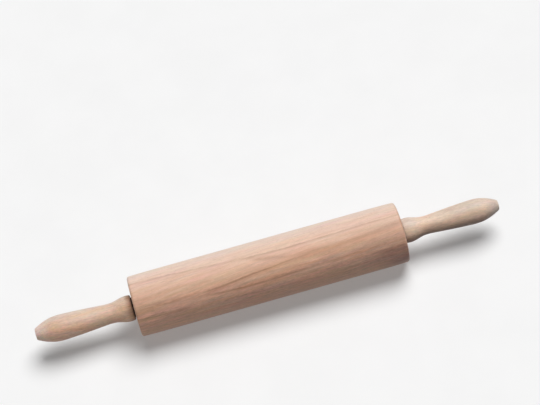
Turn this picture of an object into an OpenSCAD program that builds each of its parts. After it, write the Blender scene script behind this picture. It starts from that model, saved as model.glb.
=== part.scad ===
// Roller rolling pin: a beech barrel that spins on two ball bearings
// between two turned grips. The grips are screwed on one steel axle.
//
// Millimetres. The pin's axis is X, +X towards the right grip, +Z up.
// The origin is the middle of the barrel, on the axis.
//
// Coming apart on a bench, from one end: unscrew the grip with its
// threaded insert, take off the thrust collar, draw the axle out with
// the clip on it, press the bearing out of its housing.

/* [Barrel] */
// Length of the barrel between its end faces
barrel_l = 250; // [200:5:300]
// Diameter of the barrel's straight part
barrel_d = 56; // [50:0.5:70]
// Length of the slight taper at each end
taper_l = 22; // [10:1:40]
// How much the diameter falls over that taper
taper_drop = 0.6; // [0:0.1:2]
// Radius of the eased edge at each end
edge_r = 2; // [0.5:0.1:3]
// Diameter of the bore that clears the axle
barrel_bore_d = 16; // [15.5:0.5:20]

/* [Grips] */
// Gap between the barrel's end face and the grip
grip_gap = 1.5; // [1.2:0.1:4]
// Distance from the barrel's end face to the grip's tip
grip_reach = 91.4; // [80:0.2:120]
// Largest diameter of the left grip's flare, next to the barrel
left_flare_d = 23.7; // [20:0.1:28]
// Smallest diameter of the left grip, at its waist
left_waist_d = 18.3; // [16:0.1:22]
// Largest diameter of the left grip's bulge, in the palm
left_bulge_d = 23.6; // [20:0.1:30]
// Diameter where the left grip's tip turns flat
left_tip_d = 10.8; // [6:0.1:14]
// Largest diameter of the right grip's flare, next to the barrel
right_flare_d = 22.8; // [20:0.1:28]
// Smallest diameter of the right grip, at its waist
right_waist_d = 17; // [16:0.1:22]
// Largest diameter of the right grip's bulge, in the palm
right_bulge_d = 22.4; // [20:0.1:30]
// Diameter where the right grip's tip turns flat
right_tip_d = 9.5; // [6:0.1:14]
// Distance from the barrel's end face to the waist
waist_at = 24; // [20:1:30]
// Distance from the barrel's end face to the bulge
bulge_at = 69; // [55:1:74]

/* [Axle] */
// Diameter of the axle, the bore of the bearings
axle_d = 8; // [8:0.1:8]
// How far the axle reaches past the barrel's end face
axle_reach = 24; // [18:1:32]
// Pitch of the thread at both ends
thread_pitch = 1.25; // [1:0.25:1.5]
// Thickness of the retaining clips
clip_t = 0.8; // [0.6:0.1:1]

/* [Bearings] */
// Outer diameter of the bearings
bearing_od = 22; // [22:0.1:22]
// Width of the bearings
bearing_w = 7; // [7:0.1:7]
// Diameter of the balls
ball_d = 3.97; // [3.5:0.01:3.97]
// How many balls each bearing holds
ball_n = 7; // [6:1:8]
// Diameter of the circle that the balls run on
ball_pcd = 15; // [15:0.1:15]
// Wall of the housing round the bearing
housing_wall = 2; // [1.5:0.1:3]
// How far the housing's flange stands out past that wall
housing_flange = 2; // [1:0.1:3]

/* [Hidden] */
$fn = 96;

// Planes along the axis, measured from the middle of the barrel
end_x = barrel_l / 2;                  // barrel's end face
grip_x = end_x + grip_gap;             // grip's inner face
tip_x = end_x + grip_reach;            // grip's tip
lip_t = 0.7;                           // snap lip that holds the bearing
sunk = 0.2;                            // housing below the barrel's face
race_out = end_x - sunk - lip_t;       // outer side of the bearing
race_in = race_out - bearing_w;        // inner side of the bearing
race_mid = (race_out + race_in) / 2;
floor_t = 1.6;                         // floor of the housing
housing_in = race_in - floor_t;
flange_t = 1.2;

axle_r = axle_d / 2;
axle_x = end_x + axle_reach;           // end of the rod
thread_x = grip_x + 2;                 // start of the thread
thread_h = 0.6;                        // depth of the thread
groove_d = 0.2;                        // depth of the clip's groove

race_r = bearing_od / 2;
pitch_r = ball_pcd / 2;
shoulder_in = 6;                       // inner race's shoulder radius
shoulder_out = 9;                      // outer race's shoulder radius
track_r = ball_d / 2 + 0.095;          // radius of the ball track
shield_t = 0.3;
shield_at = 2.9;                       // shield's inner side, from mid-width
shield_seat = 9.6;                     // radius of the seat of the shields

insert_r = 6;
insert_head_r = 6.8;
insert_head_t = 1;
insert_l = 18;

// ------------------------------------------------------------- helpers

// Revolves a profile of [radius, place along the axis] about X
module lathe(profile) rotate([0, 90, 0]) rotate_extrude() polygon(profile);

// A round hole along X, from x0 to x1
module drill(r, x0, x1)
    translate([x0, 0, 0]) rotate([0, 90, 0]) cylinder(r = r, h = x1 - x0);

// The left end is the right end mirrored
module at_left() mirror([1, 0, 0]) children();

function reversed(v) = [for (i = [len(v) - 1:-1:0]) v[i]];
function mix(a, b, t) = a + (b - a) * t;

// A quarter-round or part of one: points on an arc from angle a0 to a1,
// where 0 is straight out from the axis and 90 is along it
function arc(cr, cx, r, a0, a1, n) =
    [for (i = [0:n]) let (a = mix(a0, a1, i / n)) [cr + r * cos(a), cx + r * sin(a)]];

// Slope at station i of a curve through (X, Y), from its two neighbours
function slope(X, Y, i) =
    let (n = len(X) - 1)
    i == 0 ? (Y[1] - Y[0]) / (X[1] - X[0]) :
    i == n ? (Y[n] - Y[n - 1]) / (X[n] - X[n - 1]) :
    let (a = X[i] - X[i - 1], b = X[i + 1] - X[i])
    ((Y[i] - Y[i - 1]) / a * b + (Y[i + 1] - Y[i]) / b * a) / (a + b);

// One span of that curve at t from 0 to 1
function span(X, Y, i, t) =
    let (h = X[i + 1] - X[i], m0 = slope(X, Y, i) * h, m1 = slope(X, Y, i + 1) * h)
    (2 * t * t * t - 3 * t * t + 1) * Y[i] + (t * t * t - 2 * t * t + t) * m0
    + (-2 * t * t * t + 3 * t * t) * Y[i + 1] + (t * t * t - t * t) * m1;

// The whole curve as [value, place] points, about one every step
function curve(X, Y, step) = [
    for (i = [0:len(X) - 2])
        let (n = max(1, round((X[i + 1] - X[i]) / step)))
            for (k = [0:n - 1]) [span(X, Y, i, k / n), mix(X[i], X[i + 1], k / n)],
    [Y[len(Y) - 1], X[len(X) - 1]]
];

// -------------------------------------------------------------- barrel

// Radius of the barrel in its tapered ends: t is 0 where the taper
// starts and 1 at the edge
function taper(t) = barrel_d / 2 - taper_drop / 2 * t * t;

// Half the barrel's outline, from the start of the taper to the face
function barrel_half() =
    let (n = 8, x0 = end_x - taper_l, x1 = end_x - edge_r, r1 = taper(1))
    concat(
        [for (i = [0:n - 1]) [taper(i / n), mix(x0, x1, i / n)]],
        arc(r1 - edge_r, x1, edge_r, 0, 90, 8)
    );

module barrel() color([0.80, 0.64, 0.53])
    difference() {
        lathe(concat(
            [[0, -end_x]],
            reversed([for (p = barrel_half()) [p[0], -p[1]]]),
            barrel_half(),
            [[0, end_x]]
        ));
        drill(barrel_bore_d / 2, -end_x, end_x);
        for (s = [0, 1]) mirror([s, 0, 0]) {
            drill(race_r + housing_wall, housing_in, end_x + 1);
            drill(race_r + housing_wall + housing_flange,
                  end_x - sunk - flange_t, end_x + 1);
        }
    }

// --------------------------------------------------------------- grips

// Stations of the grip's outline, from the barrel's end face
function grip_x_list() = [
    grip_gap + 1.2, 5, 9.5, 13.5, mix(9.5, waist_at, 0.59), waist_at,
    mix(waist_at, bulge_at, 0.155), mix(waist_at, bulge_at, 0.467),
    mix(waist_at, bulge_at, 0.8), bulge_at,
    mix(bulge_at, grip_reach, 0.27), mix(bulge_at, grip_reach, 0.49),
    mix(bulge_at, grip_reach, 0.67), mix(bulge_at, grip_reach, 0.826),
    grip_reach - 0.4
];

// Radii there, from the flare, waist, bulge and tip
function grip_r_list(flare, waist, bulge, tip) = [
    flare - 0.22, flare, mix(flare, waist, 0.11), mix(flare, waist, 0.47),
    mix(flare, waist, 0.87), waist,
    mix(waist, bulge, 0.17), mix(waist, bulge, 0.565),
    mix(waist, bulge, 0.89), bulge,
    mix(bulge, tip, 0.075), mix(bulge, tip, 0.26),
    mix(bulge, tip, 0.465), mix(bulge, tip, 0.72), tip
];

// The grip's outline: eased inner edge, the long curve, eased flat tip
function grip_outline(flare, waist, bulge, tip) =
    let (
        X = grip_x_list(), Y = grip_r_list(flare, waist, bulge, tip), n = len(X) - 1,
        a0 = -atan(slope(X, Y, 0)), r0 = 1.2 / (1 + sin(a0)),
        a1 = -atan(slope(X, Y, n)), r1 = 0.4 / (1 - sin(a1))
    )
    concat(
        [[0, grip_gap]],
        arc(Y[0] - r0 * cos(a0), X[0] - r0 * sin(a0), r0, -90, a0, 6),
        [for (i = [1:len(curve(X, Y, 1.4)) - 2]) curve(X, Y, 1.4)[i]],
        arc(Y[n] - r1 * cos(a1), X[n] - r1 * sin(a1), r1, a1, 90, 6),
        [[0, grip_reach]]
    );

module handle(flare, waist, bulge, tip) color([0.85, 0.70, 0.56])
    difference() {
        lathe([for (p = grip_outline(flare, waist, bulge, tip)) [p[0], end_x + p[1]]]);
        // seat of the insert's head, its body, and the rod's end
        drill(insert_head_r, grip_x - 1, grip_x + insert_head_t);
        drill(insert_r, grip_x - 1, grip_x + insert_l);
        drill(axle_r + 0.2, grip_x - 1, axle_x + 3);
    }

module left_handle() at_left()
    handle(left_flare_d / 2, left_waist_d / 2, left_bulge_d / 2, left_tip_d / 2);
module right_handle()
    handle(right_flare_d / 2, right_waist_d / 2, right_bulge_d / 2, right_tip_d / 2);

// Threaded insert: a head, and a body with barbs that hold in the wood
module handle_insert() color([0.80, 0.66, 0.36])
    lathe(concat(
        [[axle_r, grip_x], [insert_head_r, grip_x],
         [insert_head_r, grip_x + insert_head_t],
         [insert_r, grip_x + insert_head_t]],
        [for (i = [0:6], k = [0, 1])
            [k == 0 ? insert_r : insert_r - 0.5,
             grip_x + insert_head_t + 2 + 2 * i + (k == 0 ? 0 : 0.4)]],
        [[insert_r - 0.5, grip_x + insert_l], [axle_r, grip_x + insert_l]]
    ));
module left_handle_insert() at_left() handle_insert();
module right_handle_insert() handle_insert();

// ---------------------------------------------------------------- axle

// Half the rod: plain, a groove for the clip, plain through the
// bearing, and the thread drawn as rings
function axle_half() =
    let (n = floor((axle_x - 1 - thread_x) / thread_pitch))
    concat(
        [[axle_r, race_in - clip_t - 0.05], [axle_r - groove_d, race_in - clip_t - 0.05],
         [axle_r - groove_d, race_in + 0.05], [axle_r, race_in + 0.05]],
        [for (i = [0:n - 1], k = [0, 1, 2])
            [k == 1 ? axle_r - thread_h : axle_r,
             thread_x + thread_pitch * (i + 0.06 + 0.44 * k)]],
        [[axle_r, axle_x - 0.8], [axle_r - 0.8, axle_x]]
    );

module axle() color([0.72, 0.73, 0.75])
    lathe(concat(
        [[0, -axle_x]],
        reversed([for (p = axle_half()) [p[0], -p[1]]]),
        axle_half(),
        [[0, axle_x]]
    ));

// Open ring in the rod's groove, with an eye at each end for the pliers
module retaining_clip() color([0.35, 0.36, 0.38])
    translate([race_in - clip_t, 0, 0]) rotate([0, 90, 0])
        linear_extrude(height = clip_t) difference() {
            union() {
                circle(r = axle_r + 1.4);
                for (a = [-24, 24]) rotate(a) translate([axle_r + 1.75, 0]) circle(r = 1.3);
            }
            circle(r = axle_r - groove_d);
            polygon([[0, 0], [12, -12 * tan(13)], [12, 12 * tan(13)]]);
            for (a = [-24, 24]) rotate(a) translate([axle_r + 1.85, 0]) circle(r = 0.55);
        }
module left_retaining_clip() at_left() retaining_clip();
module right_retaining_clip() retaining_clip();

// Stepped collar: its hub bears on the inner race only, and its disc
// on the grip, so the grip never rubs on the barrel
module thrust_collar() color([0.16, 0.14, 0.13])
    lathe([
        [axle_r, race_out], [shoulder_in - 0.2, race_out],
        [shoulder_in - 0.2, end_x + 0.2], [8.7, end_x + 0.2],
        [9, end_x + 0.5], [9, grip_x], [axle_r, grip_x]
    ]);
module left_thrust_collar() at_left() thrust_collar();
module right_thrust_collar() thrust_collar();

// ------------------------------------------------------------ bearings

// Nylon cup: floor with a hole that clears the clip, wall, snap lip and
// a flange that lies in the barrel's face
module bearing_housing() color([0.14, 0.12, 0.11])
    lathe([
        [8.5, housing_in], [race_r + housing_wall, housing_in],
        [race_r + housing_wall, end_x - sunk - flange_t],
        [race_r + housing_wall + housing_flange, end_x - sunk - flange_t],
        [race_r + housing_wall + housing_flange, end_x - sunk - 0.3],
        [race_r + housing_wall + housing_flange - 0.3, end_x - sunk],
        [race_r + 0.1, end_x - sunk], [race_r - 0.4, race_out + 0.2],
        [race_r - 0.4, race_out], [race_r, race_out],
        [race_r, race_in], [8.5, race_in]
    ]);
module left_bearing_housing() at_left() bearing_housing();
module right_bearing_housing() bearing_housing();

// Angle at which the ball track meets a shoulder of radius s
function track_a(s) = acos(abs(s - pitch_r) / track_r);

// Outer ring: ball track, shoulders, and a seat for each shield
function outer_half() =
    let (a = track_a(shoulder_out), w = bearing_w / 2)
    concat(
        arc(pitch_r, 0, track_r, 0, a, 8),
        [[shoulder_out, shield_at], [shield_seat, shield_at],
         [shield_seat, w], [race_r - 0.3, w], [race_r, w - 0.3]]
    );
module outer_race() color([0.70, 0.71, 0.73])
    translate([race_mid, 0, 0]) lathe(concat(
        reversed([for (p = outer_half()) [p[0], -p[1]]]),
        [for (i = [1:len(outer_half()) - 1]) outer_half()[i]]
    ));
module left_outer_race() at_left() outer_race();
module right_outer_race() outer_race();

// Inner ring: ball track, shoulders, eased edges, bore on the rod
function inner_half() =
    let (a = track_a(shoulder_in), w = bearing_w / 2)
    concat(
        arc(pitch_r, 0, track_r, 180, 180 - a, 8),
        [[shoulder_in, w - 0.25], [shoulder_in - 0.25, w],
         [axle_r + 0.25, w], [axle_r, w - 0.25]]
    );
module inner_race() color([0.70, 0.71, 0.73])
    translate([race_mid, 0, 0]) lathe(concat(
        reversed([for (p = inner_half()) [p[0], -p[1]]]),
        [for (i = [1:len(inner_half()) - 1]) inner_half()[i]]
    ));
module left_inner_race() at_left() inner_race();
module right_inner_race() inner_race();

// The balls, evenly spaced on their circle
module bearing_balls() color([0.85, 0.86, 0.88])
    translate([race_mid, 0, 0])
        for (i = [0:ball_n - 1]) rotate([i * 360 / ball_n, 0, 0])
            translate([0, 0, pitch_r]) sphere(d = ball_d);
module left_bearing_balls() at_left() bearing_balls();
module right_bearing_balls() bearing_balls();

// Crown cage: a ring beside the balls, with fingers between them
module ball_cage() color([0.86, 0.80, 0.66])
    translate([race_mid, 0, 0]) difference() {
        lathe([
            [pitch_r - 0.8, -1.1], [pitch_r + 0.8, -1.1],
            [pitch_r + 0.8, 2.6], [pitch_r - 0.8, 2.6]
        ]);
        for (i = [0:ball_n - 1]) rotate([i * 360 / ball_n, 0, 0])
            translate([0, 0, pitch_r]) sphere(r = ball_d / 2 + 0.1);
    }
module left_ball_cage() at_left() ball_cage();
module right_ball_cage() ball_cage();

// Two thin shields, seated in the outer ring, clear of the inner one
module bearing_shields() color([0.62, 0.63, 0.65])
    for (x = [-shield_at - shield_t, shield_at])
        translate([race_mid + x, 0, 0])
            lathe([[6.3, 0], [shield_seat, 0], [shield_seat, shield_t], [6.3, shield_t]]);
module left_bearing_shields() at_left() bearing_shields();
module right_bearing_shields() bearing_shields();

// -------------------------------------------------------------- output

barrel();
axle();
left_handle();
right_handle();
left_handle_insert();
right_handle_insert();
left_thrust_collar();
right_thrust_collar();
left_retaining_clip();
right_retaining_clip();
left_bearing_housing();
right_bearing_housing();
left_outer_race();
right_outer_race();
left_inner_race();
right_inner_race();
left_bearing_balls();
right_bearing_balls();
left_ball_cage();
right_ball_cage();
left_bearing_shields();
right_bearing_shields();
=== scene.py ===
import math

import bmesh
import bpy
import numpy as np
from mathutils import Matrix, Vector, noise as mnoise


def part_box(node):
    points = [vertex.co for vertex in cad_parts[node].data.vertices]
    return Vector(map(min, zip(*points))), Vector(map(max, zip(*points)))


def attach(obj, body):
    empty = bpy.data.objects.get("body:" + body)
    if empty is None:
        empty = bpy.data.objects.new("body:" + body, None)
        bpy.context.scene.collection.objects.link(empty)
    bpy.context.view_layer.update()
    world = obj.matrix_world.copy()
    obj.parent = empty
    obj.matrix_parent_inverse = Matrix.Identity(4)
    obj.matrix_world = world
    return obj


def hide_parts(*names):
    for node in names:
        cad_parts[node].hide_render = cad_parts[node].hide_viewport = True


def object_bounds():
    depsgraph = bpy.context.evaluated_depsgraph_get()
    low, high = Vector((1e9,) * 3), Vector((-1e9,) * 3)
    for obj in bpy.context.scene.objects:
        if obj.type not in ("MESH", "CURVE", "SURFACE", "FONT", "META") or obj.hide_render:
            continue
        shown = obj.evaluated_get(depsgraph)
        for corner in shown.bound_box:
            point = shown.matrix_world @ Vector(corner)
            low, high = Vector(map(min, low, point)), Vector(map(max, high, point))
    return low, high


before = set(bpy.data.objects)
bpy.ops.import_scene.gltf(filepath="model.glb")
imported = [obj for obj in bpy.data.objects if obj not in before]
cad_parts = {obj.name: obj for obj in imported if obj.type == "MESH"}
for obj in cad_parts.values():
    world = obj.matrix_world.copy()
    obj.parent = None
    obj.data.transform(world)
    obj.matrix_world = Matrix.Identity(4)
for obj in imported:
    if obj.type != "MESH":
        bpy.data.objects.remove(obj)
cad_lo, cad_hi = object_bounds()
scene = bpy.context.scene

MM = 0.001
TAU = 2 * math.pi

# ------------------------------------------------------------------ camera
# Where the photograph was taken from. The outline of a turned object fixes
# the camera against the pin's axis: its place along the axis, distance, yaw,
# pitch, roll and focal length. The height above the table is the one thing
# the outline leaves free.
CAM_X, CAM_D, FOCAL_PX = -64.8, 1735.0, 1924.3
YAW, PITCH, ROLL = -0.04752, -0.03314, -0.27380
ELEV = math.radians(56.0)


def rot(axis, t):
    return np.array(Matrix.Rotation(t, 3, axis))


def camera():
    cam = bpy.data.cameras.new("camera")
    cam.sensor_width = 36.0
    cam.sensor_fit = "HORIZONTAL"
    cam.lens = FOCAL_PX / 540.0 * 36.0
    cam.clip_start, cam.clip_end = 0.05, 20.0
    cam.dof.use_dof = False
    ob = bpy.data.objects.new("camera", cam)
    scene.collection.objects.link(ob)
    # rows: right, down, forward, for a camera straight above the axis
    c, s = math.cos, math.sin
    rx = np.array([[1, 0, 0], [0, c(PITCH), -s(PITCH)], [0, s(PITCH), c(PITCH)]])
    ry = np.array([[c(YAW), 0, s(YAW)], [0, 1, 0], [-s(YAW), 0, c(YAW)]])
    rz = np.array([[c(ROLL), -s(ROLL), 0], [s(ROLL), c(ROLL), 0], [0, 0, 1]])
    rm = rz @ rx @ ry @ np.diag([1.0, -1.0, -1.0])
    down = rot("X", math.pi / 2 - ELEV)  # swings the camera towards -Y
    pos = down @ np.array([CAM_X, 0.0, CAM_D]) * MM
    rm = rm @ down.T
    m = np.eye(4)
    m[:3, 0], m[:3, 1], m[:3, 2], m[:3, 3] = rm[0], -rm[1], -rm[2], pos
    ob.matrix_world = Matrix(m.tolist())
    scene.camera = ob


camera()

# ------------------------------------------------------------- mesh helpers


def lathe(name, runs, segs, shape=None):
    """A closed turned mesh about X from runs of (x, r, weight) points in mm.
    Each run is smooth; runs meet at a sharp edge. weight is how much of the
    UV map a millimetre of the outline gets. shape(x, r, angle) may change r."""
    pts, sharp = [], set()
    for run in runs:
        for i, p in enumerate(run):
            if i == 0 and pts:
                sharp.add(len(pts) - 1)
                continue
            pts.append(p)
    closed = abs(pts[0][0] - pts[-1][0]) < 1e-9 and abs(pts[0][1] - pts[-1][1]) < 1e-9
    if closed:
        pts = pts[:-1]
        sharp.add(0)
    n = len(pts)
    cum = [0.0]
    for i in range(1, n + (1 if closed else 0)):
        a, b = pts[i - 1], pts[i % n]
        cum.append(cum[-1] + math.hypot(b[0] - a[0], b[1] - a[1]) * 0.5 * (a[2] + b[2]))
    total = cum[-1]
    bm = bmesh.new()
    rings = []
    for x, r, _ in pts:
        if r < 1e-6:
            rings.append([bm.verts.new((x * MM, 0, 0))])
            continue
        ring = []
        for k in range(segs):
            t = TAU * k / segs
            rr = shape(x, r, t) if shape else r
            ring.append(bm.verts.new((x * MM, rr * MM * math.cos(t), rr * MM * math.sin(t))))
        rings.append(ring)
    uv = bm.loops.layers.uv.new("OFBake")

    def put(face, uvs):
        for loop, w in zip(face.loops, uvs):
            loop[uv].uv = (0.004 + 0.992 * w[0], 0.004 + 0.992 * w[1])

    for i in range(n if closed else n - 1):
        a, b = rings[i], rings[(i + 1) % n]
        v0, v1 = cum[i] / total, cum[i + 1] / total
        for k in range(segs):
            k2 = (k + 1) % segs
            u0, u1 = k / segs, (k + 1) / segs
            if len(a) == 1 and len(b) == 1:
                continue
            if len(a) == 1:
                put(bm.faces.new((a[0], b[k2], b[k])), ((0.5 * (u0 + u1), v0), (u1, v1), (u0, v1)))
            elif len(b) == 1:
                put(bm.faces.new((a[k], a[k2], b[0])), ((u0, v0), (u1, v0), (0.5 * (u0 + u1), v1)))
            else:
                put(bm.faces.new((a[k], a[k2], b[k2], b[k])), ((u0, v0), (u1, v0), (u1, v1), (u0, v1)))
    bm.normal_update()
    bmesh.ops.recalc_face_normals(bm, faces=bm.faces[:])
    for f in bm.faces:
        f.smooth = True
    for i in sharp:
        ring = rings[i]
        if len(ring) > 1:
            for k in range(segs):
                e = bm.edges.get((ring[k], ring[(k + 1) % segs]))
                if e:
                    e.smooth = False
    me = bpy.data.meshes.new(name)
    bm.to_mesh(me)
    bm.free()
    ob = bpy.data.objects.new(name, me)
    scene.collection.objects.link(ob)
    return ob


def arc(cx, cr, r, a0, a1, n, w):
    """Points on an arc: angle 0 is straight out from the axis, 90 is +X."""
    out = []
    for i in range(n + 1):
        a = math.radians(a0 + (a1 - a0) * i / n)
        out.append((cx + r * math.sin(a), cr + r * math.cos(a), w))
    return out


def line(p, q, n, w):
    return [(p[0] + (q[0] - p[0]) * i / n, p[1] + (q[1] - p[1]) * i / n, w) for i in range(n + 1)]


# --------------------------------------------------- outlines, as in the CAD
END = 125.0
BARREL_R, TAPER_L, TAPER_DROP, EDGE_R = 28.0, 22.0, 0.3, 2.0
GAP, REACH, WAIST_AT, BULGE_AT = 1.5, 91.4, 24.0, 69.0


def mix(a, b, t):
    return a + (b - a) * t


def slope(X, Y, i):
    n = len(X) - 1
    if i == 0:
        return (Y[1] - Y[0]) / (X[1] - X[0])
    if i == n:
        return (Y[n] - Y[n - 1]) / (X[n] - X[n - 1])
    a, b = X[i] - X[i - 1], X[i + 1] - X[i]
    return ((Y[i] - Y[i - 1]) / a * b + (Y[i + 1] - Y[i]) / b * a) / (a + b)


def curve(X, Y, step):
    out = []
    for i in range(len(X) - 1):
        h = X[i + 1] - X[i]
        n = max(1, round(h / step))
        m0, m1 = slope(X, Y, i) * h, slope(X, Y, i + 1) * h
        for k in range(n):
            t = k / n
            y = ((2 * t**3 - 3 * t * t + 1) * Y[i] + (t**3 - 2 * t * t + t) * m0
                 + (-2 * t**3 + 3 * t * t) * Y[i + 1] + (t**3 - t * t) * m1)
            out.append((mix(X[i], X[i + 1], t), y))
    out.append((X[-1], Y[-1]))
    return out


def barrel_runs():
    hid = 0.12  # hidden walls get little of the map
    r1 = BARREL_R - TAPER_DROP
    x1 = END - EDGE_R
    half = []  # from the middle to the face
    for i in range(60):
        half.append((x1 * 0 + (END - TAPER_L) * i / 60, BARREL_R, 1.0))
    for i in range(16):
        t = i / 16
        half.append((mix(END - TAPER_L, x1, t), BARREL_R - TAPER_DROP * t * t, 1.0))
    half += arc(x1, r1 - EDGE_R, EDGE_R, 0, 90, 8, 1.6)
    outer = [(-x, r, w) for x, r, w in reversed(half)] + half[1:]

    def end(s):
        # face, eased rim of the recess, recess, counterbore, bore
        face = line((s * END, r1 - EDGE_R), (s * END, 15.25), 12, 1.6)
        rim = line((s * END, 15.25), (s * (END - 0.25), 15.0), 1, 1.6)
        wall = line((s * (END - 0.25), 15.0), (s * 123.6, 15.0), 1, hid)
        step = line((s * 123.6, 15.0), (s * 123.6, 13.0), 1, hid)
        bore = line((s * 123.6, 13.0), (s * 115.5, 13.0), 1, hid)
        foot = line((s * 115.5, 13.0), (s * 115.5, 8.0), 1, hid)
        return [face, rim, wall, step, bore, foot]

    right = end(1)
    left = [run[::-1] for run in reversed(end(-1))]
    inner = [line((115.5, 8.0), (-115.5, 8.0), 4, hid * 0.3)]
    return [outer] + right + inner + left


def grip_points(flare, waist, bulge, tip):
    X = [GAP + 1.2, 5, 9.5, 13.5, mix(9.5, WAIST_AT, 0.59), WAIST_AT,
         mix(WAIST_AT, BULGE_AT, 0.155), mix(WAIST_AT, BULGE_AT, 0.467),
         mix(WAIST_AT, BULGE_AT, 0.8), BULGE_AT,
         mix(BULGE_AT, REACH, 0.27), mix(BULGE_AT, REACH, 0.49),
         mix(BULGE_AT, REACH, 0.67), mix(BULGE_AT, REACH, 0.826), REACH - 0.4]
    Y = [flare - 0.22, flare, mix(flare, waist, 0.11), mix(flare, waist, 0.47),
         mix(flare, waist, 0.87), waist,
         mix(waist, bulge, 0.17), mix(waist, bulge, 0.565), mix(waist, bulge, 0.89), bulge,
         mix(bulge, tip, 0.075), mix(bulge, tip, 0.26), mix(bulge, tip, 0.465),
         mix(bulge, tip, 0.72), tip]
    return X, Y


def grip_runs(side, flare, waist, bulge, tip):
    hid = 0.12
    X, Y = grip_points(flare, waist, bulge, tip)
    n = len(X) - 1
    a0 = -math.degrees(math.atan(slope(X, Y, 0)))
    a1 = -math.degrees(math.atan(slope(X, Y, n)))
    r0 = 1.2 / (1 + math.sin(math.radians(a0)))
    r1 = 0.4 / (1 - math.sin(math.radians(a1)))
    body = arc(X[0] - r0 * math.sin(math.radians(a0)), Y[0] - r0 * math.cos(math.radians(a0)), r0, -90, a0, 8, 1.0)
    body += [(x, y, 1.0) for x, y in curve(X, Y, 0.8)[1:-1]]
    cap = arc(X[n] - r1 * math.sin(math.radians(a1)), Y[n] - r1 * math.cos(math.radians(a1)), r1, a1, 90, 6, 1.0)
    body += cap
    tip_r = cap[-1][1]
    flat = line((REACH, tip_r), (REACH, 0.0), 6, 1.0)
    face_r = body[0][1]
    inner = [line((153.0 - END - 1.0, 0.0), (153.0 - END - 1.0, 4.2), 1, hid),
             line((152.0 - END, 4.2), (GAP + 18.0, 4.2), 1, hid),
             line((GAP + 18.0, 4.2), (GAP + 18.0, 6.0), 1, hid),
             line((GAP + 18.0, 6.0), (GAP + 1.0, 6.0), 1, hid),
             line((GAP + 1.0, 6.0), (GAP + 1.0, 6.8), 1, hid),
             line((GAP + 1.0, 6.8), (GAP + 0.15, 6.8), 1, hid),
             line((GAP + 0.15, 6.8), (GAP, 6.95), 1, 1.0),
             line((GAP, 6.95), (GAP, face_r), 4, 1.0)]
    runs = inner + [body + flat[1:]]
    return [[(side * (END + x), r, w) for x, r, w in run] for run in runs]


# ------------------------------------------------------------ node materials


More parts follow.
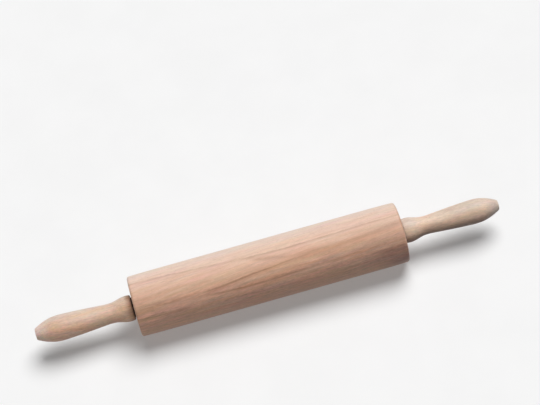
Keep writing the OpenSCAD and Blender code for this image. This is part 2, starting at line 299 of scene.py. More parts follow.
class Graph:
    """Short names for building a node material."""

    def __init__(self, name):
        self.mat = bpy.data.materials.new(name)
        self.mat.use_nodes = True
        self.nt = self.mat.node_tree
        self.nt.nodes.clear()
        self.out = self.nt.nodes.new("ShaderNodeOutputMaterial")
        self.bsdf = self.nt.nodes.new("ShaderNodeBsdfPrincipled")
        self.nt.links.new(self.bsdf.outputs[0], self.out.inputs[0])

    def node(self, kind, **props):
        n = self.nt.nodes.new(kind)
        for k, v in props.items():
            setattr(n, k, v)
        return n

    def put(self, socket, value):
        if isinstance(value, bpy.types.NodeSocket):
            self.nt.links.new(value, socket)
        elif isinstance(value, (tuple, list)) and len(value) == 3 and socket.type == "RGBA":
            socket.default_value = (*value, 1.0)
        else:
            socket.default_value = value

    def math(self, op, a, b=None, c=None, clamp=False):
        n = self.node("ShaderNodeMath", operation=op, use_clamp=clamp)
        for s, v in zip(n.inputs, (a, b, c)):
            if v is not None:
                self.put(s, v)
        return n.outputs[0]

    def vec(self, op, a, b=None, scale=None):
        n = self.node("ShaderNodeVectorMath", operation=op)
        self.put(n.inputs[0], a)
        if b is not None:
            self.put(n.inputs[1], b)
        if scale is not None:
            self.put(n.inputs["Scale"], scale)
        return n.outputs["Value"] if op in ("LENGTH", "DOT_PRODUCT", "DISTANCE") else n.outputs[0]

    def join(self, x, y, z):
        n = self.node("ShaderNodeCombineXYZ")
        for s, v in zip(n.inputs, (x, y, z)):
            self.put(s, v)
        return n.outputs[0]

    def split(self, v):
        n = self.node("ShaderNodeSeparateXYZ")
        self.put(n.inputs[0], v)
        return n.outputs

    def noise(self, v, scale=1.0, detail=2.0, rough=0.5, colour=False, dims="3D", w=None, distort=0.0):
        n = self.node("ShaderNodeTexNoise", noise_dimensions=dims)
        if v is not None:
            self.put(n.inputs["Vector"], v)
        if w is not None:
            self.put(n.inputs["W"], w)
        self.put(n.inputs["Scale"], scale)
        self.put(n.inputs["Detail"], detail)
        self.put(n.inputs["Roughness"], rough)
        self.put(n.inputs["Distortion"], distort)
        return n.outputs["Color" if colour else 0]

    def range(self, v, a, b, c=0.0, d=1.0, smooth=True):
        n = self.node("ShaderNodeMapRange", interpolation_type="SMOOTHSTEP" if smooth else "LINEAR", clamp=True)
        for s, x in zip(n.inputs[:5], (v, a, b, c, d)):
            self.put(s, x)
        return n.outputs[0]

    def mix(self, t, a, b, blend="MIX"):
        n = self.node("ShaderNodeMix", data_type="RGBA", blend_type=blend, clamp_factor=True)
        self.put(n.inputs[0], t)
        self.put(n.inputs[6], a)
        self.put(n.inputs[7], b)
        return n.outputs[2]

    def bump(self, height, strength, distance, normal=None):
        n = self.node("ShaderNodeBump")
        self.put(n.inputs["Height"], height)
        self.put(n.inputs["Strength"], strength)
        self.put(n.inputs["Distance"], distance)
        if normal is not None:
            self.put(n.inputs["Normal"], normal)
        return n.outputs[0]

    def curve(self, v, pts, lo, hi):
        """A smooth curve through a few points (x, y), y between lo and hi."""
        x0, x1 = pts[0][0], pts[-1][0]
        n = self.node("ShaderNodeFloatCurve")
        c = n.mapping.curves[0]
        P = [((x - x0) / (x1 - x0), (y - lo) / (hi - lo)) for x, y in pts]
        c.points[0].location = P[0]
        c.points[1].location = P[-1]
        for q in P[1:-1]:
            c.points.new(*q)
        n.mapping.update()
        self.put(n.inputs["Value"], self.range(v, x0, x1, 0.0, 1.0, smooth=False))
        return self.range(n.outputs[0], 0.0, 1.0, lo, hi, smooth=False)

    def mm(self):
        """Object coordinates in millimetres."""
        tc = self.node("ShaderNodeTexCoord")
        return self.vec("SCALE", tc.outputs["Object"], scale=1000.0)


def beech(name, pale, dark, red, face_deg, pith, tilt, ring, seed, x0=0.0, figure=0.5, tone_band_painted_light=None, low=None,
          grain_and_shade_ends=(), cut=(0.0, 0.0), hue=1.0, grit=(1.0, 1.5), blend=(0.06, 0.22, 0.22, 0.38),
          skin=None, marks_and_shade=(), rim_shade=(0.26, 0.26)):
    """Turned beech as a solid texture, so that its figure runs on from the
    side of the piece to its end grain. face_deg turns the log about X; pith
    is how far off (a, b) the heart of the log lies, tilt how much the grain
    leans per mm, ring the width of one year. tone_band_painted_light is the b
    where a band of another colour sets in and the b where it is full, and its
    colour; low is the same for a second band. These bands are painted light
    and shade: the barrel's paler upper side is paler wood and painted sheen,
    its lower side a darker, redder painted shade; on the grips they are
    darker tops and undersides as painted shade, and a greyer pale top edge
    on the left grip as painted sheen. grain_and_shade_ends are places along
    the length (x) where the wood has another colour, each with its width and
    colour: cut grain at a tip, and painted shade where the barrel shades the
    left grip's foot. cut is how far from the middle, right and left, flat end
    faces lie, on which the rings show best. hue and grit say how much the
    wood varies in colour and how coarse it looks on its upper and on its
    lower side, blend how short its patches of colour are and how much long
    fibres, mottle and pores show. marks_and_shade are single strong growth
    lines, stained bands and bands of painted shade on the side that faces
    the camera at rest, each (path, strength, width below, width above,
    colour), with path and strength as points along the length; they lie
    outside the radius skin. rim_shade is how much the rounded-over edges at
    the right and at the left end are darkened, as painted shade."""
    g = Graph(name)
    P = g.mm()
    x, y, z = g.split(P)
    ca, sa = math.cos(math.radians(face_deg)), math.sin(math.radians(face_deg))
    # a: towards the side that faces the camera at rest, b: up from there
    a = g.math("ADD", g.math("MULTIPLY", y, -ca), g.math("MULTIPLY", z, sa))
    b = g.math("ADD", g.math("MULTIPLY", y, sa), g.math("MULTIPLY", z, ca))
    xs = g.math("SUBTRACT", x, x0)
    # the grain wanders a little along the length
    slow = g.noise(g.join(g.math("MULTIPLY", x, 0.011), g.math("MULTIPLY", a, 0.02), g.math("MULTIPLY", b, 0.035)),
                   1.0, 2.0, 0.5, colour=True)
    sx, sy, sz = g.split(g.vec("SUBTRACT", slow, (0.5, 0.5, 0.5)))
    aw = g.math("ADD", g.math("ADD", a, pith[0]), g.math("ADD", g.math("MULTIPLY", xs, tilt[0]), g.math("MULTIPLY", sy, 3.0)))
    bw = g.math("ADD", g.math("ADD", b, pith[1]), g.math("ADD", g.math("MULTIPLY", xs, tilt[1]), g.math("MULTIPLY", sz, 6.0)))
    rho = g.math("SQRT", g.math("ADD", g.math("MULTIPLY", aw, aw), g.math("MULTIPLY", bw, bw)))
    u = g.math("DIVIDE", rho, ring)
    # years of unlike width
    u = g.math("ADD", u, g.math("MULTIPLY", g.noise(None, 0.9, 1.0, 0.5, dims="1D", w=g.math("ADD", u, seed)), 1.2))
    year = g.math("FLOOR", u)
    part = g.math("FRACT", u)
    wn = g.node("ShaderNodeTexWhiteNoise", noise_dimensions="1D")
    g.put(wn.inputs["W"], g.math("ADD", year, seed * 3.1))
    strong = g.range(wn.outputs["Value"], 0.35, 1.0, 0.12, 1.0)
    # late wood darkens slowly towards the ring's edge and stops short
    late = g.math("MULTIPLY", g.math("POWER", part, 3.5), g.range(part, 0.94, 1.0, 1.0, 0.0))
    late = g.math("MULTIPLY", late, strong)
    # long fibres, short mottle, fine pores
    fib = g.noise(g.join(g.math("MULTIPLY", x, 0.03), g.math("MULTIPLY", aw, 0.7), g.math("MULTIPLY", bw, 0.7)), 1.0, 3.0, 0.55)
    mott = g.noise(g.join(g.math("MULTIPLY", x, 0.08), g.math("MULTIPLY", aw, 0.42), g.math("MULTIPLY", bw, 0.42)), 1.0, 2.0, 0.6)
    fine = g.noise(g.join(g.math("MULTIPLY", x, 0.24), g.math("MULTIPLY", aw, 1.25), g.math("MULTIPLY", bw, 1.25)), 1.0, 2.0, 0.6)
    tint = g.noise(g.join(g.math("MULTIPLY", x, 0.10), g.math("MULTIPLY", aw, 0.30), g.math("ADD", g.math("MULTIPLY", bw, 0.30), 40.0)), 1.0, 3.0, 0.6)
    cloud = g.noise(g.join(g.math("MULTIPLY", x, 0.014), g.math("MULTIPLY", aw, 0.08), g.math("MULTIPLY", bw, 0.08)), 1.0, 2.0, 0.5)
    # rays: thin upright sheets that run out from the heart
    vor = g.node("ShaderNodeTexVoronoi", feature="F1", voronoi_dimensions="3D")
    ang = g.math("MULTIPLY", g.math("DIVIDE", bw, aw), 118.0)
    g.put(vor.inputs["Vector"], g.join(g.math("MULTIPLY", x, 0.36), g.math("MULTIPLY", rho, 0.16), g.math("MULTIPLY", ang, 1.0)))
    g.put(vor.inputs["Scale"], 1.0)
    g.put(vor.inputs["Randomness"], 1.0)
    ray = g.range(vor.outputs["Distance"], 0.12, 0.36, 1.0, 0.0)
    rayamt = g.math("MULTIPLY", ray, g.range(g.split(vor.outputs["Color"])[0], 0.3, 1.0, 0.1, 1.0))
    # colour
    col = g.mix(g.range(g.math("ADD", g.math("MULTIPLY", cloud, 0.6), g.math("MULTIPLY", tint, 0.4)), 0.38, 0.62), pale, red)
    # bands of another colour by height b across the side, painted light and shade: a paler top on the barrel (paler
    # wood and painted sheen) and a darker lower side (painted shade); darker tops and undersides on the grips (painted
    # shade); a greyer pale top edge on the left grip (painted sheen)
    if tone_band_painted_light:
        col = g.mix(g.range(g.math("ADD", b, g.math("MULTIPLY", g.math("SUBTRACT", mott, 0.5), 2.0)), tone_band_painted_light[0], tone_band_painted_light[1]), col, tone_band_painted_light[2])
    if low:
        col = g.mix(g.range(g.math("ADD", b, g.math("MULTIPLY", g.math("SUBTRACT", mott, 0.5), 2.0)), low[0], low[1]), col, low[2])
    sawn = g.math("ADD", g.range(x, cut[0] - 0.9, cut[0] - 0.1), g.range(x, 0.1 - cut[1], 0.9 - cut[1], 1.0, 0.0))
    if tone_band_painted_light:
        figure = g.range(b, tone_band_painted_light[0], tone_band_painted_light[1], figure, figure * 0.6)
    col = g.mix(g.math("MULTIPLY", late, g.math("ADD", figure, g.math("MULTIPLY", sawn, 0.38))), col, dark)
    # end grain takes the light darker; the rounded-over edges at the ends are darkened too, as painted shade, by the
    # first rim amount at the right end and the second at the left
    eased = g.math("ADD", g.range(x, cut[0] - 2.2, cut[0] - 0.5, 0.0, rim_shade[0]), g.range(x, 0.5 - cut[1], 2.2 - cut[1], rim_shade[1], 0.0))
    col = g.mix(g.math("ADD", g.math("MULTIPLY", sawn, -0.10), eased), col, dark)
    col = g.mix(g.math("MULTIPLY", rayamt, 0.26), col, dark)
    if marks_and_shade:
        r = g.math("SQRT", g.math("ADD", g.math("MULTIPLY", y, y), g.math("MULTIPLY", z, z)))
        front = g.math("MULTIPLY", g.range(r, skin - 0.6, skin), g.range(a, 0.0, 6.0))
        rag = g.math("MULTIPLY", g.math("SUBTRACT", fine, 0.5), 1.1)
        sway = g.math("MULTIPLY", g.math("SUBTRACT", mott, 0.5), 1.4)
        bb = g.math("ADD", b, g.math("ADD", rag, sway))
        fade = g.range(g.noise(g.join(g.math("MULTIPLY", x, 0.09), g.math("MULTIPLY", b, 0.25), 7.0), 1.0, 2.0, 0.6), 0.32, 0.62, 0.86, 1.26)
        for path, power, below, above, colour in marks_and_shade:
            d = g.math("SUBTRACT", bb, g.curve(x, path, -28.0, 28.0))
            line = g.math("MULTIPLY", g.range(d, -below, 0.0), g.range(d, 0.0, above, 1.0, 0.0))
            line = g.math("MULTIPLY", g.math("MULTIPLY", line, g.curve(x, power, 0.0, 1.0)), g.math("MULTIPLY", front, fade))
            col = g.mix(line, col, colour)
    # bands along the length: cut grain at a tip, or painted shade such as the barrel's shadow on the left grip's foot
    for at, wide, colour in grain_and_shade_ends:
        away = g.math("ADD", g.math("ABSOLUTE", g.math("SUBTRACT", x, at)), g.math("MULTIPLY", g.math("SUBTRACT", fib, 0.5), 1.6))
        col = g.mix(g.range(away, wide * 0.25, wide, 1.0, 0.0), col, colour)
    # patches that lean to pink or to yellow
    hn = g.noise(g.join(g.math("MULTIPLY", x, blend[0]), g.math("MULTIPLY", aw, 0.26), g.math("ADD", g.math("MULTIPLY", bw, 0.26), 90.0)),
                 1.0, 3.0, 0.62, colour=True)
    h1, h2, _ = g.split(g.vec("SCALE", g.vec("SUBTRACT", hn, (0.5, 0.5, 0.5)), scale=g.range(b, -16.0, 8.0, hue * 1.55, hue)))
    col = g.vec("MULTIPLY", col, g.join(g.math("ADD", 1.0, g.math("MULTIPLY", h1, -0.05)), g.math("ADD", 1.0, g.math("MULTIPLY", h1, 0.18)),
                                        g.math("ADD", 1.0, g.math("ADD", g.math("MULTIPLY", h1, 0.14), g.math("MULTIPLY", h2, 0.22)))))
    # light and dark of the fibres and pores, stronger away from the sapwood
    tone = g.math("ADD", g.math("MULTIPLY", g.math("SUBTRACT", fib, 0.5), blend[1]),
                  g.math("ADD", g.math("MULTIPLY", g.math("SUBTRACT", mott, 0.5), blend[2]),
                         g.math("MULTIPLY", g.math("SUBTRACT", fine, 0.5), blend[3])))
    tone = g.math("MULTIPLY", tone, g.range(b, -16.0, 10.0, grit[1], grit[0]))
    col = g.vec("SCALE", col, scale=g.math("ADD", tone, 1.0))
    g.put(g.bsdf.inputs["Base Color"], col)
    g.bsdf.inputs["IOR"].default_value = 1.5
    g.bsdf.inputs["Sheen Weight"].default_value = 0.25
    g.bsdf.inputs["Sheen Roughness"].default_value = 0.50
    rough = g.math("ADD", 0.50, g.math("MULTIPLY", g.math("SUBTRACT", fib, 0.5), 0.14))
    g.put(g.bsdf.inputs["Roughness"], rough)
    h = g.math("ADD", g.math("MULTIPLY", fine, 0.5), g.math("MULTIPLY", rayamt, -0.35))
    g.put(g.bsdf.inputs["Normal"], g.bump(h, 0.10, 0.0002))
    return g.mat


FACE = math.degrees(ELEV)
BROWN, RUST, WINE, LIGHT = (0.37, 0.185, 0.11), (0.60, 0.27, 0.165), (0.34, 0.165, 0.125), (0.86, 0.60, 0.45)
RED, OLIVE, SAND = (0.43, 0.19, 0.115), (0.40, 0.245, 0.16), (0.70, 0.480, 0.325)
barrel_marks_and_shade = (
    # growth lines and stains of the barrel, with bands of painted shade towards its lower side and its lower right
    # corner
    # the long line above the middle
    (((-125, 20.2), (-80, 18.6), (-40, 16.4), (-15, 15.2), (15, 14.2), (40, 14.5), (80, 15.4), (125, 16.2)),
     ((-125, 0.30), (-90, 0.34), (-40, 0.25), (-12, 0.33), (10, 0.43), (40, 0.41), (80, 0.36), (125, 0.28)),
     2.2, 0.9, BROWN),
    # the flame: its upper branch, with the stain where it leaves the line
    (((-125, 22), (-22, 15.4), (-11, 12.3), (0, 9.7), (8, 8.3), (18, 6.7), (28, 5.3), (60, 5.0), (125, 5.0)),
     ((-125, 0.0), (-26, 0.0), (-12, 0.26), (0, 0.37), (10, 0.35), (20, 0.14), (32, 0.06), (46, 0.0), (125, 0.0)),
     2.8, 3.4, BROWN),
    # and its lower branch, the darkest line on the barrel
    (((-125, -5), (-60, -3.9), (-46, -3.5), (-32, -2.1), (-17, -0.4), (2, 1.2), (14, 2.3), (30, 3.3), (60, 4.0), (125, 4)),
     ((-125, 0.0), (-68, 0.0), (-57, 0.34), (-44, 0.50), (-22, 0.62), (-4, 0.56), (14, 0.40), (34, 0.22), (50, 0.0), (125, 0.0)),
     1.35, 1.3, BROWN),
    # with a broad stain where that one begins
    (((-125, -4.2), (-50, -4.6), (-30, -5.2), (125, -5.4)),
     ((-125, 0.0), (-66, 0.0), (-55, 0.24), (-34, 0.28), (-16, 0.0), (125, 0.0)),
     3.4, 3.2, RED),
    # rust-coloured band from the tip of the flame to the right
    (((-125, 4), (20, 4.0), (40, 5.0), (60, 4.2), (80, 4.4), (100, 6.0), (125, 8.0)),
     ((-125, 0.0), (22, 0.0), (36, 0.36), (60, 0.24), (80, 0.12), (100, 0.06), (125, 0.03)),
     4.5, 4.0, RUST),
    (((-125, 4), (18, 4.2), (40, 5.2), (60, 5.0), (90, 5.8), (108, 7.4), (125, 9.6)),
     ((-125, 0.0), (16, 0.0), (32, 0.18), (46, 0.20), (64, 0.20), (90, 0.30), (112, 0.32), (125, 0.26)),
     3.0, 3.2, BROWN),
    # the line below the middle, from a broad brown band at the left
    (((-125, -6.0), (-90, -6.4), (-60, -7.6), (-48, -8.6), (-32, -9.3), (0, -9.5), (18, -8.8), (40, -7.9), (70, -7.3), (95, -6.9), (125, -5.8)),
     ((-125, 0.0), (-72, 0.0), (-56, 0.26), (-38, 0.52), (-10, 0.54), (16, 0.42), (50, 0.32), (90, 0.26), (125, 0.16)),
     1.7, 1.7, RED),
    (((-125, -4.6), (-90, -4.8), (-60, -5.6), (125, -6)),
     ((-125, 0.38), (-92, 0.44), (-82, 0.30), (-66, 0.10), (-58, 0.0), (125, 0.0)),
     3.4, 5.0, RED),
    # past its end the wood is pale, and further up it leans to yellow
    (((-125, -9), (-72, -9), (125, -9)),
     ((-125, 0.0), (-84, 0.0), (-76, 0.16), (-64, 0.16), (-52, 0.0), (125, 0.0)),
     3.6, 2.0, LIGHT),
    (((-125, 2), (-60, 2), (-20, 4.5), (10, 5.6), (125, 6)),
     ((-125, 0.0), (-95, 0.0), (-75, 0.34), (-45, 0.34), (-20, 0.28), (5, 0.28), (22, 0.0), (125, 0.0)),
     5.5, 5.5, SAND),
    # pale again between the two lines to the right of the middle
    (((-125, -1), (20, -0.8), (55, -3.8), (125, -4)),
     ((-125, 0.0), (8, 0.0), (26, 0.14), (46, 0.20), (58, 0.26), (74, 0.0), (125, 0.0)),
     2.4, 2.4, LIGHT),
    (((-125, -4), (90, -4.6), (125, -4)),
     ((-125, 0.0), (66, 0.0), (80, 0.16), (98, 0.16), (112, 0.0), (125, 0.0)),
     2.4, 2.4, BROWN),
    # the wood is a little browner under the long line, most at the right
    (((-125, 12.5), (0, 12.5), (70, 11.0), (125, 9.5)),
     ((-125, 0.15), (0, 0.10), (60, 0.10), (84, 0.18), (125, 0.25)),
     5.5, 5.0, BROWN),
    # and darker towards the lower side, painted shade
    (((-125, -18.0), (125, -18.0)), ((-125, 0.12), (-90, 0.16), (125, 0.17)), 13.0, 4.5, (0.40, 0.255, 0.19)),
    # and over the left third
    (((-125, 5.5), (125, 5.5)), ((-125, 0.17), (-85, 0.15), (-50, 0.0), (125, 0.0)), 6.5, 6.5, OLIVE),
    (((-125, -7.5), (-80, -7.5), (125, -7.5)), ((-125, 0.26), (-108, 0.16), (-90, 0.0), (125, 0.0)), 3.5, 3.5, BROWN),
    # pale streak under it
    (((-125, -9.4), (-60, -10.8), (-20, -12.4), (20, -11.2), (60, -9.8), (90, -8.6), (125, -8.0)),
     ((-125, 0.16), (-100, 0.06), (-60, 0.0), (0, 0.0), (20, 0.12), (60, 0.16), (84, 0.20), (108, 0.24), (125, 0.18)),
     1.4, 1.4, LIGHT),
    # low on the left, and the wine-dark patch low on the right, darkest at the right end's lower edge, where it is
    # partly wood colour and partly painted shade of that corner
    (((-125, -13), (-90, -13.6), (-40, -16), (125, -16)),
     ((-125, 0.26), (-95, 0.44), (-82, 0.30), (-70, 0.06), (-40, 0.14), (0, 0.08), (20, 0.0), (125, 0.0)),
     2.6, 2.6, RED),
    (((-125, -16), (-60, -16), (125, -16)),
     ((-125, 0.0), (-110, 0.0), (-98, 0.20), (-84, 0.26), (-72, 0.0), (125, 0.0)),
     5.5, 5.0, OLIVE),
    (((-125, -15), (60, -16.5), (90, -13.4), (125, -13.8)),
     ((-125, 0.0), (60, 0.0), (90, 0.22), (106, 0.48), (125, 0.54)),
     11.0, 6.6, WINE),
    (((-125, -24), (125, -24)), ((-125, 0.0), (88, 0.0), (108, 0.58), (125, 0.95)), 8.0, 9.0, WINE),
    (((-125, -18), (125, -18)), ((-125, 0.0), (88, 0.0), (98, 0.24), (108, 0.0), (125, 0.0)), 4.0, 4.0, OLIVE),
)
wood_barrel = beech("beech_barrel", (0.755, 0.468, 0.325), (0.40, 0.20, 0.12), (0.72, 0.42, 0.283),
                    FACE, (90.0, -6.0), (0.0133, -0.07), 1.7, 4.0, x0=45.0, figure=0.30,
                    # the barrel's upper band is paler wood with painted sheen; its lower band is a darker, redder
                    # painted shade
                    tone_band_painted_light=(8.0, 28.0, (0.785, 0.605, 0.50)), low=(-1.0, -12.0, (0.755, 0.435, 0.300)),
                    cut=(125.0, 125.0), hue=1.4, grit=(1.0, 2.2), blend=(0.022, 0.31, 0.14, 0.27), skin=27.0,
                    # the barrel's rounded end edges are darkened as painted shade, more at the right end
                    marks_and_shade=barrel_marks_and_shade, rim_shade=(0.40, 0.12))
wood_left = beech("beech_left_grip", (0.84, 0.555, 0.412), (0.48, 0.28, 0.17), (0.79, 0.497, 0.349),
                  # the left grip's bands: a darker upper side, painted shade, and a greyer pale top edge, painted
                  # sheen
                  FACE + 10, (40.0, 12.0), (0.05, 0.02), 1.9, 11.0, x0=-170.0, figure=0.30, tone_band_painted_light=(-5.5, 3.5, (0.69, 0.478, 0.352)),
                  low=(4.5, 9.5, (0.69, 0.54, 0.44)),
                  # the dark band next to the barrel is painted shade of the barrel on the grip's foot; the one at the
                  # tip is cut grain
                  grain_and_shade_ends=((-126.5, 6.5, (0.60, 0.35, 0.22)), (-217.0, 16.0, (0.82, 0.60, 0.505))),
                  cut=(0.0, 216.3), hue=2.3, grit=(1.5, 1.9))
grip_painted_shade = (
    # painted shade along the underside
    (((125, -5.0), (216, -5.0)), ((125, 0.62), (216, 0.62)), 8.0, 6.3, (0.24, 0.150, 0.107)),
)
wood_right = beech("beech_right_grip", (0.925, 0.680, 0.513), (0.50, 0.33, 0.22), (0.865, 0.613, 0.448),
                   # the right grip's bands: a darker top and a darker underside, both painted shade
                   FACE - 40, (46.0, -9.0), (-0.03, 0.03), 2.1, 17.0, x0=170.0, figure=0.25, tone_band_painted_light=(5.5, 11.0, (0.655, 0.515, 0.42)),
                   low=(3.7, -4.8, (0.54, 0.340, 0.252)), grain_and_shade_ends=((217.0, 19.0, (0.64, 0.51, 0.425)),),
                   cut=(216.3, 0.0), hue=1.4, grit=(1.5, 1.9), skin=7.5, marks_and_shade=grip_painted_shade)

# -------------------------------------------------------------- wood pieces


def turned(seed, amount):
    """Hand-sanded turned wood is round to a few hundredths of a millimetre."""
    def f(x, r, t):
        if r < 7.5:
            return r
        p = Vector((x * 0.03 + seed * 7.3, math.cos(t) * 1.4, math.sin(t) * 1.4))
        return r - amount * (0.5 + 0.5 * mnoise.noise(p))
    return f


barrel = lathe("beech_barrel", barrel_runs(), 256, turned(1, 0.06))
barrel.data.materials.append(wood_barrel)
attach(barrel, "barrel")
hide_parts("barrel")

left = lathe("beech_left_grip", grip_runs(-1, 11.85, 9.15, 11.8, 5.4), 160, turned(2, 0.05))
left.data.materials.append(wood_left)
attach(left, "grips_and_axle")
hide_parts("left_handle")

right = lathe("beech_right_grip", grip_runs(1, 11.4, 8.5, 11.2, 4.75), 160, turned(3, 0.05))
right.data.materials.append(wood_right)
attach(right, "grips_and_axle")
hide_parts("right_handle")

# ------------------------------------------------------- metal and plastics


def steel(name, base, rough, streak, along, wear=0.1):
    """Turned, ground or drawn steel: fine lines round or along the axis."""
    g = Graph(name)
    P = g.mm()
    x, y, z = g.split(P)
    r = g.math("SQRT", g.math("ADD", g.math("MULTIPLY", y, y), g.math("MULTIPLY", z, z)))
    if along:
        v = g.join(g.math("MULTIPLY", x, 0.08), g.math("MULTIPLY", y, 9.0), g.math("MULTIPLY", z, 9.0))
    else:
        v = g.join(g.math("MULTIPLY", x, 12.0), g.math("MULTIPLY", r, 12.0), 0.0)
    lines = g.noise(v, 1.0, 3.0, 0.6)
    blot = g.noise(P, 0.35, 3.0, 0.55)
    col = g.mix(g.range(lines, 0.3, 0.7), tuple(c * (1 - streak) for c in base), base)
    col = g.mix(g.math("MULTIPLY", g.range(blot, 0.5, 0.75), wear), col, tuple(c * 0.55 for c in base))
    g.put(g.bsdf.inputs["Base Color"], col)
    g.bsdf.inputs["Metallic"].default_value = 1.0
    g.put(g.bsdf.inputs["Roughness"], g.math("ADD", rough, g.math("MULTIPLY", g.math("SUBTRACT", lines, 0.5), 0.18)))
    g.put(g.bsdf.inputs["Normal"], g.bump(lines, 0.06, 0.00005))
    return g.mat


def nylon(name, base, rough, speck=0.25, shine=0.5):
    """Moulded nylon: a faint mould texture and slight mottling."""
    g = Graph(name)
    P = g.mm()
    grain = g.noise(P, 5.0, 3.0, 0.6)
    mott = g.noise(P, 0.5, 2.0, 0.5)
    col = g.mix(g.range(mott, 0.3, 0.7), base, tuple(min(1.0, c * (1 + speck)) for c in base))
    g.put(g.bsdf.inputs["Base Color"], col)
    g.bsdf.inputs["Specular IOR Level"].default_value = shine
    g.put(g.bsdf.inputs["Roughness"], g.math("ADD", rough, g.math("MULTIPLY", g.math("SUBTRACT", grain, 0.5), 0.2)))
    g.put(g.bsdf.inputs["Normal"], g.bump(grain, 0.12, 0.0001))
    return g.mat


mats = {
    "axle": steel("drawn_rod", (0.60, 0.60, 0.61), 0.30, 0.18, True),
    "handle_insert": steel("turned_brass", (0.78, 0.58, 0.27), 0.28, 0.15, False),
    "retaining_clip": steel("black_spring_steel", (0.12, 0.12, 0.13), 0.42, 0.25, False),
    "outer_race": steel("ground_outer_ring", (0.64, 0.64, 0.65), 0.18, 0.12, False, 0.05),
    "inner_race": steel("ground_inner_ring", (0.66, 0.66, 0.67), 0.18, 0.12, False, 0.05),
    "bearing_balls": steel("polished_balls", (0.72, 0.72, 0.73), 0.08, 0.04, True, 0.03),
    "bearing_shields": steel("pressed_shield", (0.52, 0.52, 0.53), 0.34, 0.2, False),
    "ball_cage": nylon("cage_nylon", (0.68, 0.62, 0.48), 0.45, 0.1),
    # the housing and collar are dark brown nylon, made this dark and warm to also give the painted shade of the gap
    # between the left grip and the barrel
    "bearing_housing": nylon("housing_nylon", (0.018, 0.010, 0.007), 0.50, shine=0.20),
    "thrust_collar": nylon("collar_nylon", (0.022, 0.010, 0.006), 0.55, shine=0.10),
}
for name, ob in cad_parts.items():
    for key, mat in mats.items():
        if name == key or name.endswith("_" + key):
            if not ob.material_slots:
                ob.data.materials.append(mat)
            for s in ob.material_slots:
                s.material = mat


def balls(side):
    """One bearing's seven separate balls, evenly spaced on the circle they run on."""
    lo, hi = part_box(side + "_bearing_balls")
    bm = bmesh.new()
    for i in range(7):
        t = TAU * i / 7
        at = Vector(((lo.x + hi.x) / 2, 7.5 * MM * math.sin(t), 7.5 * MM * math.cos(t)))
        bmesh.ops.create_icosphere(bm, subdivisions=4, radius=1.985 * MM, matrix=Matrix.Translation(at))
    me = bpy.data.meshes.new(side + "_seven_balls")
    bm.to_mesh(me)
    bm.free()
    for f in me.polygons:
        f.use_smooth = True
    me.materials.append(mats["bearing_balls"])
    ob = bpy.data.objects.new(side + "_seven_balls", me)
    scene.collection.objects.link(ob)
    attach(ob, side + "_ball_train")
    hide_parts(side + "_bearing_balls")


balls("left")
balls("right")

# ------------------------------------------------------------- floor, light
FLOOR = cad_lo[2]


def floor():
    me = bpy.data.meshes.new("floor")
    s = 40.0
    me.from_pydata([(-s, -s, FLOOR), (s, -s, FLOOR), (s, s, FLOOR), (-s, s, FLOOR)], [], [(0, 1, 2, 3)])
    ob = bpy.data.objects.new("floor", me)
    scene.collection.objects.link(ob)
    g = Graph("pale_floor")
    n = g.noise(g.mm(), 0.02, 3.0, 0.5)
    g.put(g.bsdf.inputs["Base Color"], g.mix(g.range(n, 0.2, 0.8), (0.70, 0.70, 0.70), (0.72, 0.72, 0.72)))
    g.bsdf.inputs["Roughness"].default_value = 0.9
    g.bsdf.inputs["Specular IOR Level"].default_value = 0.1
    # the floor glows a little, painted light that keeps its shadow pale
    g.bsdf.inputs["Emission Color"].default_value = (1.0, 1.0, 1.0, 1.0)
    g.bsdf.inputs["Emission Strength"].default_value = 0.205
    me.materials.append(g.mat)
    # the pin in the photograph gets little light back from what it lies on
    ob.visible_diffuse = False


floor()


def sky(elev):
    """A direction in the plane across the pin, elev degrees up from -Y."""
    t = math.radians(elev)
    return Vector((0.0, -math.cos(t), math.sin(t)))


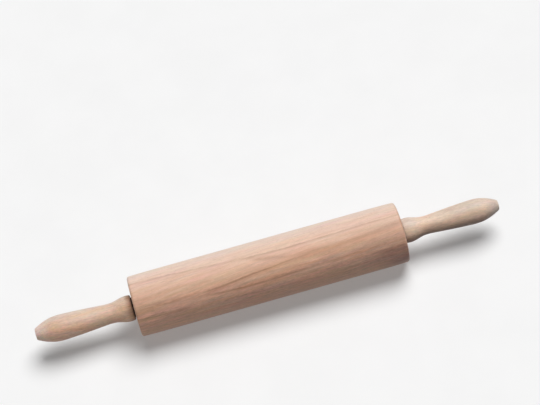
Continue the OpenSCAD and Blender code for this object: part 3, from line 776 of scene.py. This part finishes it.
BELOW, EDGE, DOME = 0.143, 0.917, 0.07  # the studio's light from below, at the table's edge, above
key = bpy.data.lights.new("key", "SUN")
key.energy = 3.22
key.angle = math.radians(40.0)
ob = bpy.data.objects.new("key", key)
scene.collection.objects.link(ob)
side = math.radians(17.0)  # the light stands a little to the right, so the barrel shades the left grip's foot
ob.rotation_euler = (math.cos(side) * sky(math.degrees(ELEV) + 53.0) + Vector((math.sin(side), 0, 0))).to_track_quat("Z", "Y").to_euler()


def fill():
    """A white card low on the left, which lights the pin's left end more."""
    li = bpy.data.lights.new("fill", "AREA")
    li.shape = "RECTANGLE"
    li.size, li.size_y = 0.30, 0.20
    li.energy = 0.42
    ob = bpy.data.objects.new("fill", li)
    scene.collection.objects.link(ob)
    pos = Vector((-0.45, -0.45, FLOOR + 0.12))
    ob.location = pos
    ob.rotation_euler = (Vector((-0.05, 0.0, 0.0)) - pos).to_track_quat("-Z", "Y").to_euler()
    ob.visible_camera = False
    ob.visible_glossy = False
    lit = bpy.data.collections.new("lit_by_fill")
    for o in list(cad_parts.values()) + [barrel, left, right]:
        lit.objects.link(o)
    ob.light_linking.receiver_collection = lit


fill()

# a studio that is pale at the height of the table's edge, dim above it, and
# gives the little light from below that the pin in the photograph gets
world = bpy.data.worlds.new("studio")
scene.world = world
world.use_nodes = True
nt = world.node_tree
tc = nt.nodes.new("ShaderNodeTexCoord")
sep = nt.nodes.new("ShaderNodeSeparateXYZ")
nt.links.new(tc.outputs["Generated"], sep.inputs[0])
steps = []
for z0, z1, v0, v1 in ((-0.06, -0.03, BELOW, EDGE), (0.07, 0.12, 0.0, DOME - EDGE)):
    rng = nt.nodes.new("ShaderNodeMapRange")
    rng.interpolation_type = "SMOOTHSTEP"
    nt.links.new(sep.outputs["Z"], rng.inputs[0])
    for k, v in zip((1, 2, 3, 4), (z0, z1, v0, v1)):
        rng.inputs[k].default_value = v
    steps.append(rng.outputs[0])
both = nt.nodes.new("ShaderNodeMath")
both.operation = "ADD"
nt.links.new(steps[0], both.inputs[0])
nt.links.new(steps[1], both.inputs[1])
bg = nt.nodes["Background"]
bg.inputs[0].default_value = (1, 1, 1, 1)
nt.links.new(both.outputs[0], bg.inputs[1])

scene.view_settings.view_transform = "Standard"
scene.view_settings.look = "None"
scene.view_settings.exposure = 0.0
scene.view_settings.gamma = 1.0
